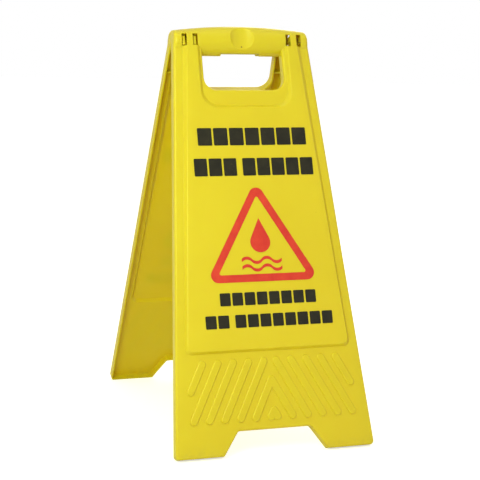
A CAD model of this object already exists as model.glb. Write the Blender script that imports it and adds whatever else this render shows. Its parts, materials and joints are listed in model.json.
import json
import math

import bmesh
import bpy
from bpy.props import FloatProperty, FloatVectorProperty, IntProperty, PointerProperty
from mathutils import Matrix, Quaternion, Vector
from mathutils.bvhtree import BVHTree


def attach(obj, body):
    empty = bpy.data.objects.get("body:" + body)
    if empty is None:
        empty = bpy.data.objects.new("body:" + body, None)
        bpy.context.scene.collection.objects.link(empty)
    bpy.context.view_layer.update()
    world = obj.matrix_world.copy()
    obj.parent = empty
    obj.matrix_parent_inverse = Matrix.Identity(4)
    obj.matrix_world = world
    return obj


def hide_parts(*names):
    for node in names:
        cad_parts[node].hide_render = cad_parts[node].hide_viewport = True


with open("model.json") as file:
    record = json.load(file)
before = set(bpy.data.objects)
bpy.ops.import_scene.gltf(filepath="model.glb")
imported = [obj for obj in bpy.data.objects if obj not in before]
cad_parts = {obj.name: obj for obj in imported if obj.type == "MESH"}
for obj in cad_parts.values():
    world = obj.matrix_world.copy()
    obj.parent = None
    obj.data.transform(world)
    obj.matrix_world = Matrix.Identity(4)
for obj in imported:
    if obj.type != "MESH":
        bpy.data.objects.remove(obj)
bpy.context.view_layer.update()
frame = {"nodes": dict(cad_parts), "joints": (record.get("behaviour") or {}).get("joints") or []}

bl_info = {
    "name": "Folding Floor Sign",
    "version": (1, 0, 0),
    "blender": (4, 5, 0),
    "location": "3D View > Sidebar > Floor Sign",
    "description": "Builds the moulded panels, their printed artwork and the studio round them",
    "category": "Object",
}

MM = 0.001
WELD = 0.002 * MM          # vertices closer than this are one
FAR = 0.5                  # where a ray starts, well clear of the sign
DISC_POINTS = 40           # round a round mark
FLOOR_POINTS = 96          # round each ring of the floor
FLOOR_RADII = (1.5, 4.0, 10.0)
KEY_PLACE, KEY_AIM, KEY_SIZE = (-0.58, -0.82, 0.80), (0.0, -0.1, 0.4), 0.5
TOP_PLACE, TOP_AIM, TOP_SIZE = (0.0, -0.3, 2.0), (0.0, 0.0, 0.32), 1.5
BACK_PLACE, BACK_AIM, BACK_SIZE = (0.9, 1.5, 1.0), (0.0, 0.1, 0.35), 1.0
SIDES = ("front", "rear")
HINGE = frame["joints"][0]
HINGE_POINT = Vector(HINGE["pos_m"])
LEAN = math.radians(HINGE["range_deg"][1]) / 2.0


# ---- the panel's own frame: X across, Y into the sign, Z up the panel from the hinge axis ----
def panel_matrix(side):
    """Places a panel that hangs straight down from the hinge axis as that side's standing panel."""
    turned = Matrix.Rotation(math.pi if side == "rear" else 0.0, 4, "Z")
    return turned @ Matrix.Translation(HINGE_POINT) @ Matrix.Rotation(-LEAN, 4, "X")


def in_panel_frame(points, side):
    """Points in the panel's own frame, from points on the standing sign."""
    back = panel_matrix(side).inverted()
    return [back @ Vector(point) for point in points]


def islands(node, side):
    """Box of each separate solid in a CAD node, in the panel's own frame."""
    mesh = bmesh.new()
    mesh.from_mesh(frame["nodes"][node].data)
    bmesh.ops.remove_doubles(mesh, verts=mesh.verts, dist=WELD)
    unseen = set(mesh.verts)
    boxes = []
    while unseen:
        edge_of = [unseen.pop()]
        found = []
        while edge_of:
            vert = edge_of.pop()
            found.append(vert.co.copy())
            for edge in vert.link_edges:
                other = edge.other_vert(vert)
                if other in unseen:
                    unseen.remove(other)
                    edge_of.append(other)
        local = in_panel_frame(found, side)
        low = Vector(min(point[i] for point in local) for i in range(3))
        high = Vector(max(point[i] for point in local) for i in range(3))
        boxes.append((low, high))
    mesh.free()
    return boxes


# ---- node trees ----
class Tree:
    """A few short calls for building a node tree."""

    def __init__(self, tree):
        self.tree = tree

    def add(self, kind, values=(), **settings):
        node = self.tree.nodes.new(kind)
        for key, value in settings.items():
            setattr(node, key, value)
        for key, value in dict(values).items():
            node.inputs[key].default_value = value
        return node

    def link(self, start, end):
        self.tree.links.new(start, end)

    def noise(self, vector, scale, detail=2.0, roughness=0.5):
        node = self.add("ShaderNodeTexNoise", {"Scale": scale, "Detail": detail, "Roughness": roughness})
        self.link(vector, node.inputs["Vector"])
        return node.outputs["Fac"]

    def ramp(self, value, low, high, out_low=0.0, out_high=1.0):
        node = self.add("ShaderNodeMapRange", {"From Min": low, "From Max": high,
                                               "To Min": out_low, "To Max": out_high})
        self.link(value, node.inputs["Value"])
        return node.outputs["Result"]

    def math(self, operation, first, second):
        node = self.add("ShaderNodeMath", operation=operation)
        for socket, value in zip(node.inputs, (first, second)):
            if isinstance(value, (int, float)):
                socket.default_value = value
            else:
                self.link(value, socket)
        return node.outputs[0]

    def mix(self, factor, first, second, blend="MIX"):
        node = self.add("ShaderNodeMix", data_type="RGBA", blend_type=blend)
        for socket, value in ((node.inputs[0], factor), (node.inputs[6], first), (node.inputs[7], second)):
            if isinstance(value, bpy.types.NodeSocket):
                self.link(value, socket)
            else:
                socket.default_value = value
        return node.outputs[2]

    def bump(self, height, strength, distance, normal=None):
        node = self.add("ShaderNodeBump", {"Strength": strength, "Distance": distance})
        self.link(height, node.inputs["Height"])
        if normal is not None:
            self.link(normal, node.inputs["Normal"])
        return node.outputs["Normal"]


def new_material(name):
    """An empty material's tree, its shader and its object coordinates."""
    material = bpy.data.materials.new(name)
    material.use_nodes = True
    material.node_tree.nodes.clear()
    tree = Tree(material.node_tree)
    shader = tree.add("ShaderNodeBsdfPrincipled")
    output = tree.add("ShaderNodeOutputMaterial")
    tree.link(shader.outputs[0], output.inputs["Surface"])
    place = tree.add("ShaderNodeTexCoord").outputs["Object"]
    return material, tree, shader, place


def stretched(tree, place, scale, turn):
    """Coordinates squeezed along one axis, for streaks and scratches."""
    mapping = tree.add("ShaderNodeMapping", {"Scale": scale, "Rotation": turn})
    tree.link(place, mapping.inputs["Vector"])
    return mapping.outputs["Vector"]


def edge_mask(tree, radius):
    """Normals rounded over each edge, and how near an edge a spot is."""
    rounded = tree.add("ShaderNodeBevel", {"Radius": radius}, samples=6)
    true = tree.add("ShaderNodeNewGeometry").outputs["Normal"]
    turned = tree.add("ShaderNodeVectorMath", operation="DOT_PRODUCT")
    tree.link(rounded.outputs["Normal"], turned.inputs[0])
    tree.link(true, turned.inputs[1])
    return rounded.outputs["Normal"], tree.ramp(turned.outputs["Value"], 0.7, 0.99, 1.0, 0.0)


def yellow_polypropylene(settings):
    """Satin yellow moulding: flow marks, orange peel, specks, hair scratches, rubbed edges, scuffed feet."""
    material, tree, shader, place = new_material("yellow_polypropylene")
    rounded, edge = edge_mask(tree, settings.edge_break)
    flow = tree.ramp(tree.noise(place, 6.0, 3.0), 0.35, 0.65)
    base = tree.mix(flow, (*settings.yellow, 1.0), (*settings.yellow_flow, 1.0))
    cloud = tree.ramp(tree.noise(place, 38.0, 4.0, 0.6), 0.55, 0.78, 0.0, 0.4)
    base = tree.mix(cloud, base, (*settings.yellow_worn, 1.0))
    rub = tree.ramp(tree.noise(place, 70.0, 3.0, 0.6), 0.3, 0.7, 0.15, 0.55)
    base = tree.mix(tree.math("MULTIPLY", edge, rub), base, (*settings.edge_worn, 1.0))
    spots = tree.add("ShaderNodeTexVoronoi", {"Scale": settings.speck_density, "Randomness": 1.0})
    tree.link(place, spots.inputs["Vector"])
    speck = tree.ramp(spots.outputs["Distance"], 0.03, 0.055, 1.0, 0.0)
    chosen = tree.ramp(tree.noise(place, settings.speck_density * 0.4), 0.6, 0.64)
    speck = tree.math("MULTIPLY", speck, chosen)
    base = tree.mix(tree.math("MULTIPLY", speck, 0.7), base, (*settings.speck, 1.0))
    height = tree.add("ShaderNodeSeparateXYZ")
    tree.link(place, height.inputs[0])
    low = tree.ramp(height.outputs["Z"], 0.001, 0.022, 1.0, 0.0)
    grime = tree.math("MULTIPLY", low, tree.ramp(tree.noise(place, 95.0, 5.0, 0.7), 0.45, 0.72))
    base = tree.mix(tree.math("MULTIPLY", grime, 0.35), base, (*settings.grime, 1.0))
    tree.link(base, shader.inputs["Base Color"])
    hair = stretched(tree, place, (900.0, 900.0, 18.0), (0.3, 0.0, 0.5))
    scratch = tree.ramp(tree.noise(hair, 1.0, 2.0), 0.66, 0.72)
    cross = stretched(tree, place, (22.0, 700.0, 700.0), (0.2, 0.6, 0.0))
    scratch = tree.math("MAXIMUM", scratch, tree.ramp(tree.noise(cross, 1.0, 2.0), 0.68, 0.74))
    scratch = tree.math("MULTIPLY", scratch, tree.ramp(tree.noise(place, 11.0, 3.0), 0.45, 0.62))
    rough = tree.ramp(tree.noise(place, 60.0, 4.0, 0.65), 0.3, 0.7, settings.roughness - 0.05,
                      settings.roughness + 0.06)
    rough = tree.math("ADD", rough, tree.math("MULTIPLY", scratch, 0.16))
    rough = tree.math("ADD", rough, tree.math("MULTIPLY", grime, 0.2))
    tree.link(rough, shader.inputs["Roughness"])
    shader.inputs["IOR"].default_value = 1.49
    shader.inputs["Subsurface Weight"].default_value = settings.glow
    shader.inputs["Subsurface Radius"].default_value = (1.0, 0.8, 0.1)
    shader.inputs["Subsurface Scale"].default_value = 0.006
    sink = tree.bump(tree.noise(place, 16.0, 2.0), 0.3, 0.5 * MM, rounded)
    peel = tree.bump(tree.noise(place, 650.0, 3.0, 0.55), 0.2, 0.05 * MM, sink)
    tree.link(tree.bump(scratch, 0.25, -0.03 * MM, peel), shader.inputs["Normal"])
    return material


def printed_ink(name, colour, worn, roughness):
    """Screen-printed ink: uneven film, faint mesh grain and a few pinholes."""
    material, tree, shader, place = new_material(name)
    cloud = tree.ramp(tree.noise(place, 55.0, 4.0, 0.6), 0.35, 0.7)
    base = tree.mix(cloud, (*colour, 1.0), (*worn, 1.0))
    pinhole = tree.add("ShaderNodeTexVoronoi", {"Scale": 420.0, "Randomness": 1.0})
    tree.link(place, pinhole.inputs["Vector"])
    hole = tree.ramp(pinhole.outputs["Distance"], 0.05, 0.09, 1.0, 0.0)
    hole = tree.math("MULTIPLY", hole, tree.ramp(tree.noise(place, 30.0, 2.0), 0.55, 0.62))
    base = tree.mix(tree.math("MULTIPLY", hole, 0.5), base, (0.5, 0.42, 0.05, 1.0))
    tree.link(base, shader.inputs["Base Color"])
    tree.link(tree.ramp(tree.noise(place, 120.0, 3.0), 0.3, 0.7, roughness - 0.05, roughness + 0.07),
              shader.inputs["Roughness"])
    shader.inputs["IOR"].default_value = 1.5
    shader.inputs["Specular IOR Level"].default_value = 0.3
    tree.link(tree.bump(tree.noise(place, 900.0, 2.0), 0.3, 0.03 * MM), shader.inputs["Normal"])
    return material


def studio_paper(settings):
    """Pale paper with a faint tooth, lit to white where it is seen."""
    material, tree, shader, place = new_material("studio_paper")
    base = tree.mix(tree.noise(place, 3.0), (0.80, 0.80, 0.80, 1.0), (0.83, 0.83, 0.83, 1.0))
    tree.link(base, shader.inputs["Base Color"])
    shader.inputs["Roughness"].default_value = 0.9
    seen = tree.add("ShaderNodeLightPath").outputs["Is Camera Ray"]
    shader.inputs["Emission Color"].default_value = (1.0, 1.0, 1.0, 1.0)
    tree.link(tree.math("MULTIPLY", seen, settings.paper), shader.inputs["Emission Strength"])
    tree.link(tree.bump(tree.noise(place, 240.0, 3.0), 0.1, 0.1 * MM), shader.inputs["Normal"])
    return material


# ---- meshes ----
def new_piece(name, mesh, material, side, node=None):
    """A finished piece at the origin that rides with its half of the sign."""
    piece = bpy.data.objects.new(name, mesh)
    bpy.context.scene.collection.objects.link(piece)
    mesh.materials.clear()
    mesh.materials.append(material)
    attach(piece, side + "_half")
    if node:
        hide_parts(node)
    return piece


def smooth_by_angle(mesh, angle):
    """Smooth shading, with sharp edges where the faces turn by more than the angle."""
    shape = bmesh.new()
    shape.from_mesh(mesh)
    for face in shape.faces:
        face.smooth = True
    for edge in shape.edges:
        edge.smooth = len(edge.link_faces) == 2 and edge.calc_face_angle() < angle
    shape.to_mesh(mesh)
    shape.free()


def moulding_mesh(side, settings):
    """The panel's mesh, welded, and smooth up to its sharp edges."""
    node = side + "_panel"
    mesh = frame["nodes"][node].data.copy()
    mesh.name = side + "_moulding"
    shape = bmesh.new()
    shape.from_mesh(mesh)
    bmesh.ops.remove_doubles(shape, verts=shape.verts, dist=WELD)
    bmesh.ops.dissolve_degenerate(shape, edges=shape.edges, dist=WELD)
    shape.to_mesh(mesh)
    shape.free()
    smooth_by_angle(mesh, settings.sharp_angle)
    return mesh


# ---- settings ----
class MouldingSettings(bpy.types.PropertyGroup):
    yellow: FloatVectorProperty(name="Yellow", description="Main colour of the moulding", subtype="COLOR",
                                size=3, min=0.0, max=1.0, default=(0.60, 0.452, 0.009))
    yellow_flow: FloatVectorProperty(name="Flow mark", description="Colour of the faint flow marks",
                                     subtype="COLOR", size=3, min=0.0, max=1.0, default=(0.62, 0.476, 0.012))
    yellow_worn: FloatVectorProperty(name="Handled", description="Colour where the surface is dulled",
                                     subtype="COLOR", size=3, min=0.0, max=1.0, default=(0.61, 0.475, 0.022))
    edge_worn: FloatVectorProperty(name="Rubbed edge", description="Colour of the rubbed edges",
                                   subtype="COLOR", size=3, min=0.0, max=1.0, default=(0.70, 0.60, 0.05))
    speck: FloatVectorProperty(name="Speck", description="Colour of the dark specks in the plastic",
                               subtype="COLOR", size=3, min=0.0, max=1.0, default=(0.22, 0.14, 0.02))
    grime: FloatVectorProperty(name="Grime", description="Colour of the scuffing at the feet",
                               subtype="COLOR", size=3, min=0.0, max=1.0, default=(0.30, 0.25, 0.07))
    roughness: FloatProperty(name="Roughness", description="Gloss of the moulded surface",
                             min=0.05, max=1.0, default=0.34)
    glow: FloatProperty(name="Translucency", description="Light that passes under the surface",
                        min=0.0, max=1.0, default=0.55)
    edge_break: FloatProperty(name="Edge break", description="Rounding of the moulded edges",
                              unit="LENGTH", min=0.0, max=0.003, default=0.0007)
    speck_density: FloatProperty(name="Speck density", description="Specks for each metre",
                                 min=10.0, max=500.0, default=62.0)
    sharp_angle: FloatProperty(name="Sharp angle", description="Edges sharper than this stay crisp",
                               subtype="ANGLE", min=0.1, max=1.5, default=math.radians(32.0))


class MarkSettings(bpy.types.PropertyGroup):
    gate_mark: FloatProperty(name="Gate mark", description="Radius of the trimmed gate in the thumb dimple",
                             unit="LENGTH", min=0.0005, max=0.004, default=0.0011)
    gate_height: FloatProperty(name="Gate height", description="Gate mark's height from the hinge axis",
                               unit="LENGTH", min=-0.03, max=0.02, default=-0.0126)
    gate_colour: FloatVectorProperty(name="Gate colour", description="Colour of the scorched gate",
                                     subtype="COLOR", size=3, min=0.0, max=1.0, default=(0.22, 0.13, 0.02))
    stand: FloatProperty(name="Stand", description="How far a mark stands off the surface", unit="LENGTH",
                         min=0.0, max=0.001, default=0.00018)


class PrintSettings(bpy.types.PropertyGroup):
    black: FloatVectorProperty(name="Black ink", description="Colour of the blocks", subtype="COLOR",
                               size=3, min=0.0, max=1.0, default=(0.010, 0.008, 0.008))
    black_worn: FloatVectorProperty(name="Black, thin", description="Colour where the black is thin",
                                    subtype="COLOR", size=3, min=0.0, max=1.0, default=(0.020, 0.016, 0.013))
    red: FloatVectorProperty(name="Red ink", description="Colour of the triangle and its symbol",
                             subtype="COLOR", size=3, min=0.0, max=1.0, default=(0.54, 0.026, 0.028))
    red_worn: FloatVectorProperty(name="Red, thin", description="Colour where the red is thin",
                                  subtype="COLOR", size=3, min=0.0, max=1.0, default=(0.62, 0.045, 0.032))
    film: FloatProperty(name="Film", description="How far the ink stands up from the panel",
                        unit="LENGTH", min=0.0, max=0.0002, default=0.00012)
    roughness: FloatProperty(name="Roughness", description="Gloss of the ink", min=0.05, max=1.0,
                             default=0.34)
    corner: FloatProperty(name="Block corner", description="Corner radius of a block", unit="LENGTH",
                          min=0.0, max=0.01, default=0.0016)
    corner_points: IntProperty(name="Corner points", description="Points round a block's corner",
                               min=1, max=16, default=6)


class StageSettings(bpy.types.PropertyGroup):
    azimuth: FloatProperty(name="Azimuth", description="Camera's turn round the sign", subtype="ANGLE",
                           default=math.radians(-17.544))
    elevation: FloatProperty(name="Elevation", description="Camera's height above the horizon",
                             subtype="ANGLE", default=math.radians(9.772))
    roll: FloatProperty(name="Roll", description="Camera's roll", subtype="ANGLE",
                        default=math.radians(1.084))
    distance: FloatProperty(name="Distance", description="Camera to the point it looks at",
                            unit="LENGTH", default=2.0194)
    aim_across: FloatProperty(name="Aim across", description="Aim point, from the middle plane",
                              unit="LENGTH", default=0.00895)
    aim_height: FloatProperty(name="Aim height", description="Aim point, above the floor",
                              unit="LENGTH", default=0.26798)
    lens: FloatProperty(name="Lens", description="Focal length in millimetres", default=99.19)
    key: FloatProperty(name="Key light", description="Power in watts", default=8.8)
    key_tint: FloatVectorProperty(name="Key tint", description="Colour of the key light", subtype="COLOR",
                                  size=3, min=0.0, max=1.0, default=(0.78, 1.0, 0.35))
    top: FloatProperty(name="Top light", description="Power in watts", default=3.8)
    top_tint: FloatVectorProperty(name="Top tint", description="Colour of the top light", subtype="COLOR",
                                  size=3, min=0.0, max=1.0, default=(0.78, 1.0, 0.5))
    back: FloatProperty(name="Back light", description="Power in watts", default=11.0)
    back_tint: FloatVectorProperty(name="Back tint", description="Colour of the back light", subtype="COLOR",
                                   size=3, min=0.0, max=1.0, default=(1.0, 0.95, 0.8))
    sky: FloatProperty(name="Surround", description="Brightness of the studio round the sign", default=0.75)
    sky_tint: FloatVectorProperty(name="Surround tint", description="Colour of the studio's soft light",
                                  subtype="COLOR", size=3, min=0.0, max=1.0, default=(1.0, 0.97, 0.78))
    paper: FloatProperty(name="Paper", description="Light the floor gives back to the camera", default=0.6)


# ---- geometry node trees ----
def node_group(name, sockets):
    """A geometry node group with a geometry input, the named inputs and a geometry output."""
    group = bpy.data.node_groups.new(name, "GeometryNodeTree")
    group.interface.new_socket("Points", in_out="INPUT", socket_type="NodeSocketGeometry")
    for title, kind, low in sockets:
        socket = group.interface.new_socket(title, in_out="INPUT", socket_type=kind)
        if low is not None:
            socket.min_value = low
    group.interface.new_socket("Geometry", in_out="OUTPUT", socket_type="NodeSocketGeometry")
    tree = Tree(group)
    return group, tree, tree.add("NodeGroupInput"), tree.add("NodeGroupOutput")


def instanced(tree, given, result, shape):
    """Put the shape on every point, facing out of the panel, as plain mesh with the material."""
    on_points = tree.add("GeometryNodeInstanceOnPoints", {"Rotation": (math.pi / 2.0, 0.0, 0.0)})
    tree.link(given.outputs["Points"], on_points.inputs["Points"])
    tree.link(shape, on_points.inputs["Instance"])
    plain = tree.add("GeometryNodeRealizeInstances")
    tree.link(on_points.outputs["Instances"], plain.inputs["Geometry"])
    finish = tree.add("GeometryNodeSetMaterial")
    tree.link(plain.outputs["Geometry"], finish.inputs["Geometry"])
    tree.link(given.outputs["Material"], finish.inputs["Material"])
    tree.link(finish.outputs["Geometry"], result.inputs["Geometry"])


def thickened(tree, given, flat):
    """A closed slab from a flat face: the lifted face, its walls and the face's own back."""
    lift = tree.add("GeometryNodeExtrudeMesh", {"Individual": False})
    tree.link(flat, lift.inputs["Mesh"])
    tree.link(given.outputs["Stand"], lift.inputs["Offset Scale"])
    under = tree.add("GeometryNodeFlipFaces")
    tree.link(flat, under.inputs["Mesh"])
    both = tree.add("GeometryNodeJoinGeometry")
    tree.link(under.outputs["Mesh"], both.inputs["Geometry"])
    tree.link(lift.outputs["Mesh"], both.inputs["Geometry"])
    welded = tree.add("GeometryNodeMergeByDistance", {"Distance": 0.001 * MM})
    tree.link(both.outputs["Geometry"], welded.inputs["Geometry"])
    return welded.outputs["Geometry"]


def block_row_group():
    """Rounded blocks of one size, one on each point."""
    sockets = (("Width", "NodeSocketFloat", 0.0), ("Height", "NodeSocketFloat", 0.0),
               ("Corner", "NodeSocketFloat", 0.0), ("Corner Points", "NodeSocketInt", 1),
               ("Stand", "NodeSocketFloat", 0.0), ("Material", "NodeSocketMaterial", None))
    group, tree, given, result = node_group("block_row", sockets)
    outline = tree.add("GeometryNodeCurvePrimitiveQuadrilateral")
    tree.link(given.outputs["Width"], outline.inputs["Width"])
    tree.link(given.outputs["Height"], outline.inputs["Height"])
    rounded = tree.add("GeometryNodeFilletCurve")
    set_mode(rounded, "POLY", "Poly")
    tree.link(outline.outputs["Curve"], rounded.inputs["Curve"])
    tree.link(given.outputs["Corner"], rounded.inputs["Radius"])
    tree.link(given.outputs["Corner Points"], rounded.inputs["Count"])
    filled = tree.add("GeometryNodeFillCurve")
    set_mode(filled, "NGONS", "N-gons")
    tree.link(rounded.outputs["Curve"], filled.inputs["Curve"])
    instanced(tree, given, result, thickened(tree, given, filled.outputs["Mesh"]))
    return group


def round_mark_group():
    """Flat round marks of one size, one on each point."""
    sockets = (("Radius", "NodeSocketFloat", 0.0), ("Stand", "NodeSocketFloat", 0.0),
               ("Material", "NodeSocketMaterial", None))
    group, tree, given, result = node_group("round_marks", sockets)
    disc = tree.add("GeometryNodeMeshCircle", {"Vertices": DISC_POINTS}, fill_type="NGON")
    tree.link(given.outputs["Radius"], disc.inputs["Radius"])
    instanced(tree, given, result, thickened(tree, given, disc.outputs["Mesh"]))
    return group


def set_mode(node, code, title):
    """Set a node's mode, which is a property or a menu input."""
    if hasattr(node, "mode"):
        node.mode = code
    else:
        node.inputs["Mode"].default_value = title


def run_group(group, points, values):
    """The plain mesh that a node group makes on the points."""
    cloud = bpy.data.meshes.new("points")
    cloud.from_pydata([tuple(point) for point in points], [], [])
    carrier = bpy.data.objects.new("points", cloud)
    bpy.context.scene.collection.objects.link(carrier)
    modifier = carrier.modifiers.new(group.name, "NODES")
    modifier.node_group = group
    for item in group.interface.items_tree:
        if item.in_out == "INPUT" and item.name in values:
            modifier[item.identifier] = values[item.name]
    graph = bpy.context.evaluated_depsgraph_get()
    made = bpy.data.meshes.new_from_object(carrier.evaluated_get(graph), depsgraph=graph)
    bpy.data.objects.remove(carrier)
    bpy.data.meshes.remove(cloud)
    if not made.polygons:
        raise RuntimeError(group.name + " made nothing")
    return made


def joined(name, meshes, side):
    """One mesh from several in the panel's frame, set on the standing panel."""
    shape = bmesh.new()
    for mesh in meshes:
        shape.from_mesh(mesh)
        bpy.data.meshes.remove(mesh)
    bmesh.ops.transform(shape, matrix=panel_matrix(side), verts=shape.verts)
    bmesh.ops.recalc_face_normals(shape, faces=shape.faces)
    mesh = bpy.data.meshes.new(name)
    shape.to_mesh(mesh)
    shape.free()
    return mesh


# ---- finding surfaces ----
def panel_tree(side):
    """The side's CAD panel in the panel's own frame, ready for ray casts."""
    mesh = frame["nodes"][side + "_panel"].data
    points = in_panel_frame([vertex.co for vertex in mesh.vertices], side)
    faces = [tuple(face.vertices) for face in mesh.polygons]
    return BVHTree.FromPolygons(points, faces)


def surface_at(tree, across, height, start, direction):
    """First face met from a start depth, as a depth, or None."""
    hit = tree.ray_cast(Vector((across, start, height)), Vector((0.0, direction, 0.0)))[0]
    return None if hit is None else hit.y


# ---- operators ----
class SIGN_OT_mouldings(bpy.types.Operator):
    """Build the two moulded panels"""
    bl_idname = "sign.mouldings"
    bl_label = "Moulded panels"

    def execute(self, context):
        settings = context.scene.sign_moulding
        material = yellow_polypropylene(settings)
        for side in SIDES:
            mesh = moulding_mesh(side, settings)
            new_piece(side + "_moulding", mesh, material, side, side + "_panel")
        return {"FINISHED"}


class SIGN_OT_mould_marks(bpy.types.Operator):
    """Set the trimmed gate in each thumb dimple"""
    bl_idname = "sign.mould_marks"
    bl_label = "Gate marks"

    def execute(self, context):
        settings = context.scene.sign_marks
        material = printed_ink("gate_scar", settings.gate_colour, settings.gate_colour, 0.5)
        group = round_mark_group()
        for side in SIDES:
            depth = surface_at(panel_tree(side), 0.0, settings.gate_height, -FAR, 1.0)
            if depth is None:
                raise RuntimeError(side + " dimple not found")
            spots = [(0.0, depth + 0.3 * settings.stand, settings.gate_height)]
            values = {"Radius": settings.gate_mark, "Stand": settings.stand, "Material": material}
            mesh = joined(side + "_gate_mark", [run_group(group, spots, values)], side)
            new_piece(side + "_gate_mark", mesh, material, side)
        return {"FINISHED"}


class SIGN_OT_block_rows(bpy.types.Operator):
    """Print the rows of black blocks"""
    bl_idname = "sign.block_rows"
    bl_label = "Block rows"

    def execute(self, context):
        settings = context.scene.sign_print
        ink = printed_ink("black_ink", settings.black, settings.black_worn, settings.roughness)
        group = block_row_group()
        for side in SIDES:
            for part in ("upper", "lower"):
                node = "%s_%s_blocks" % (side, part)
                rows = {}
                for low, high in islands(node, side):
                    rows.setdefault(round((low.z + high.z) / 2.0, 3), []).append((low, high))
                meshes = []
                for blocks in rows.values():
                    size = blocks[0][1] - blocks[0][0]
                    spots = [((low.x + high.x) / 2.0, high.y, (low.z + high.z) / 2.0) for low, high in blocks]
                    values = {"Width": size.x, "Height": size.z, "Corner": settings.corner,
                              "Corner Points": settings.corner_points, "Stand": settings.film,
                              "Material": ink}
                    meshes.append(run_group(group, spots, values))
                name = "%s_%s_rows" % (side, part)
                new_piece(name, joined(name, meshes, side), ink, side, node)
        return {"FINISHED"}


class SIGN_OT_symbols(bpy.types.Operator):
    """Ink the red triangle and the drop over its waves"""
    bl_idname = "sign.symbols"
    bl_label = "Triangle and drop"

    def execute(self, context):
        settings = context.scene.sign_print
        ink = printed_ink("red_ink", settings.red, settings.red_worn, settings.roughness)
        for side in SIDES:
            for name in ("warning_triangle", "drop_symbol"):
                set_material(frame["nodes"]["%s_%s" % (side, name)], ink)
        return {"FINISHED"}


def set_material(node, material):
    """Give a CAD node's object one material in every slot."""
    if not node.material_slots:
        raise RuntimeError(node.name + " has no material slot")
    for slot in node.material_slots:
        slot.material = material


class SIGN_OT_studio(bpy.types.Operator):
    """Set the floor, the lights and the camera"""
    bl_idname = "sign.studio"
    bl_label = "Studio"

    def execute(self, context):
        settings = context.scene.sign_stage
        build_floor(settings)
        build_lights(settings)
        build_camera(settings)
        context.scene.view_settings.view_transform = "Standard"
        return {"FINISHED"}


def build_floor(settings):
    """A wide round sheet of pale paper."""
    shape = bmesh.new()
    for radius in FLOOR_RADII:
        bmesh.ops.create_circle(shape, cap_ends=False, radius=radius, segments=FLOOR_POINTS)
    bmesh.ops.create_vert(shape, co=(0.0, 0.0, 0.0))
    verts = list(shape.verts)
    rings = [verts[i * FLOOR_POINTS:(i + 1) * FLOOR_POINTS] for i in range(len(FLOOR_RADII))]
    middle = verts[-1]
    for i in range(FLOOR_POINTS):
        following = (i + 1) % FLOOR_POINTS
        shape.faces.new((middle, rings[0][i], rings[0][following]))
        for inner, outer in zip(rings, rings[1:]):
            shape.faces.new((inner[i], outer[i], outer[following], inner[following]))
    bmesh.ops.recalc_face_normals(shape, faces=shape.faces)
    shape.faces.ensure_lookup_table()
    if shape.faces[0].normal.z < 0.0:
        bmesh.ops.reverse_faces(shape, faces=shape.faces)
    mesh = bpy.data.meshes.new("studio_floor")
    shape.to_mesh(mesh)
    shape.free()
    floor = bpy.data.objects.new("studio_floor", mesh)
    mesh.materials.append(studio_paper(settings))
    bpy.context.scene.collection.objects.link(floor)


def area_light(name, place, aim, size, power, tint):
    """A round soft light that faces its aim point."""
    light = bpy.data.lights.new(name, "AREA")
    light.shape = "DISK"
    light.size = size
    light.energy = power
    light.color = tint
    lamp = bpy.data.objects.new(name, light)
    lamp.location = place
    lamp.rotation_euler = (Vector(aim) - Vector(place)).to_track_quat("-Z", "Y").to_euler()
    bpy.context.scene.collection.objects.link(lamp)


def build_lights(settings):
    """Soft key near the upper left, a wide top light, a back light and a pale surround."""
    area_light("key_light", KEY_PLACE, KEY_AIM, KEY_SIZE, settings.key, settings.key_tint)
    area_light("top_light", TOP_PLACE, TOP_AIM, TOP_SIZE, settings.top, settings.top_tint)
    area_light("back_light", BACK_PLACE, BACK_AIM, BACK_SIZE, settings.back, settings.back_tint)
    world = bpy.data.worlds.new("studio_surround")
    world.use_nodes = True
    tree = Tree(world.node_tree)
    surround = world.node_tree.nodes["Background"]
    seen = tree.add("ShaderNodeLightPath").outputs["Is Camera Ray"]
    tint = tree.mix(seen, (*settings.sky_tint, 1.0), (1.0, 1.0, 1.0, 1.0))
    tree.link(tint, surround.inputs["Color"])
    tree.link(tree.ramp(seen, 0.0, 1.0, settings.sky, 1.0), surround.inputs["Strength"])
    bpy.context.scene.world = world


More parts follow.
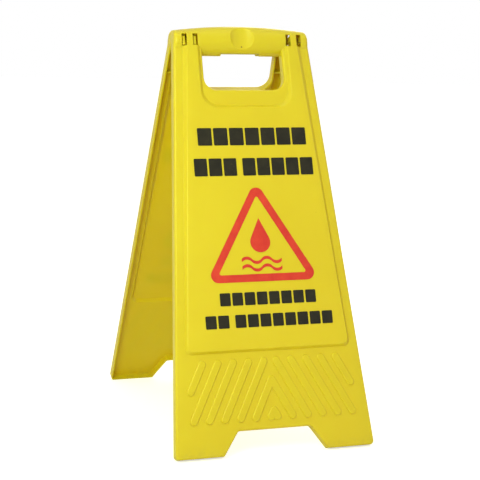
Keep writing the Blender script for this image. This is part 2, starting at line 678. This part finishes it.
def build_camera(settings):
    """Camera on a sphere round its aim point, rolled about its own axis."""
    turn, lift = settings.azimuth, settings.elevation
    back = Vector((math.sin(turn) * math.cos(lift), -math.cos(turn) * math.cos(lift), math.sin(lift)))
    aim = Vector((settings.aim_across, 0.0, settings.aim_height))
    data = bpy.data.cameras.new("camera")
    data.lens = settings.lens
    data.sensor_width = 36.0
    camera = bpy.data.objects.new("camera", data)
    camera.rotation_mode = "QUATERNION"
    camera.location = aim + back * settings.distance
    camera.rotation_quaternion = back.to_track_quat("Z", "Y") @ Quaternion((0.0, 0.0, 1.0), settings.roll)
    bpy.context.scene.collection.objects.link(camera)
    bpy.context.scene.camera = camera


class SIGN_PT_panel(bpy.types.Panel):
    """Sidebar list of the sign's steps and settings"""
    bl_idname = "SIGN_PT_panel"
    bl_label = "Floor Sign"
    bl_space_type = "VIEW_3D"
    bl_region_type = "UI"
    bl_category = "Floor Sign"

    def draw(self, context):
        scene = context.scene
        for step in STEPS:
            self.layout.operator(step.bl_idname)
        for group in (getattr(scene, name) for name in GROUPS):
            column = self.layout.column(align=True)
            for name in group.bl_rna.properties.keys():
                if name not in ("rna_type", "name"):
                    column.prop(group, name)


STEPS = (SIGN_OT_mouldings, SIGN_OT_mould_marks, SIGN_OT_block_rows, SIGN_OT_symbols, SIGN_OT_studio)
GROUPS = {"sign_moulding": MouldingSettings, "sign_marks": MarkSettings, "sign_print": PrintSettings,
          "sign_stage": StageSettings}
CLASSES = (*GROUPS.values(), *STEPS, SIGN_PT_panel)


def register():
    for item in CLASSES:
        bpy.utils.register_class(item)
    for name, group in GROUPS.items():
        setattr(bpy.types.Scene, name, PointerProperty(type=group))


def unregister():
    for name in GROUPS:
        delattr(bpy.types.Scene, name)
    for item in reversed(CLASSES):
        bpy.utils.unregister_class(item)


def main():
    register()
    bpy.ops.sign.mouldings()
    bpy.ops.sign.mould_marks()
    bpy.ops.sign.block_rows()
    bpy.ops.sign.symbols()
    bpy.ops.sign.studio()


if __name__ == "__main__":
    main()
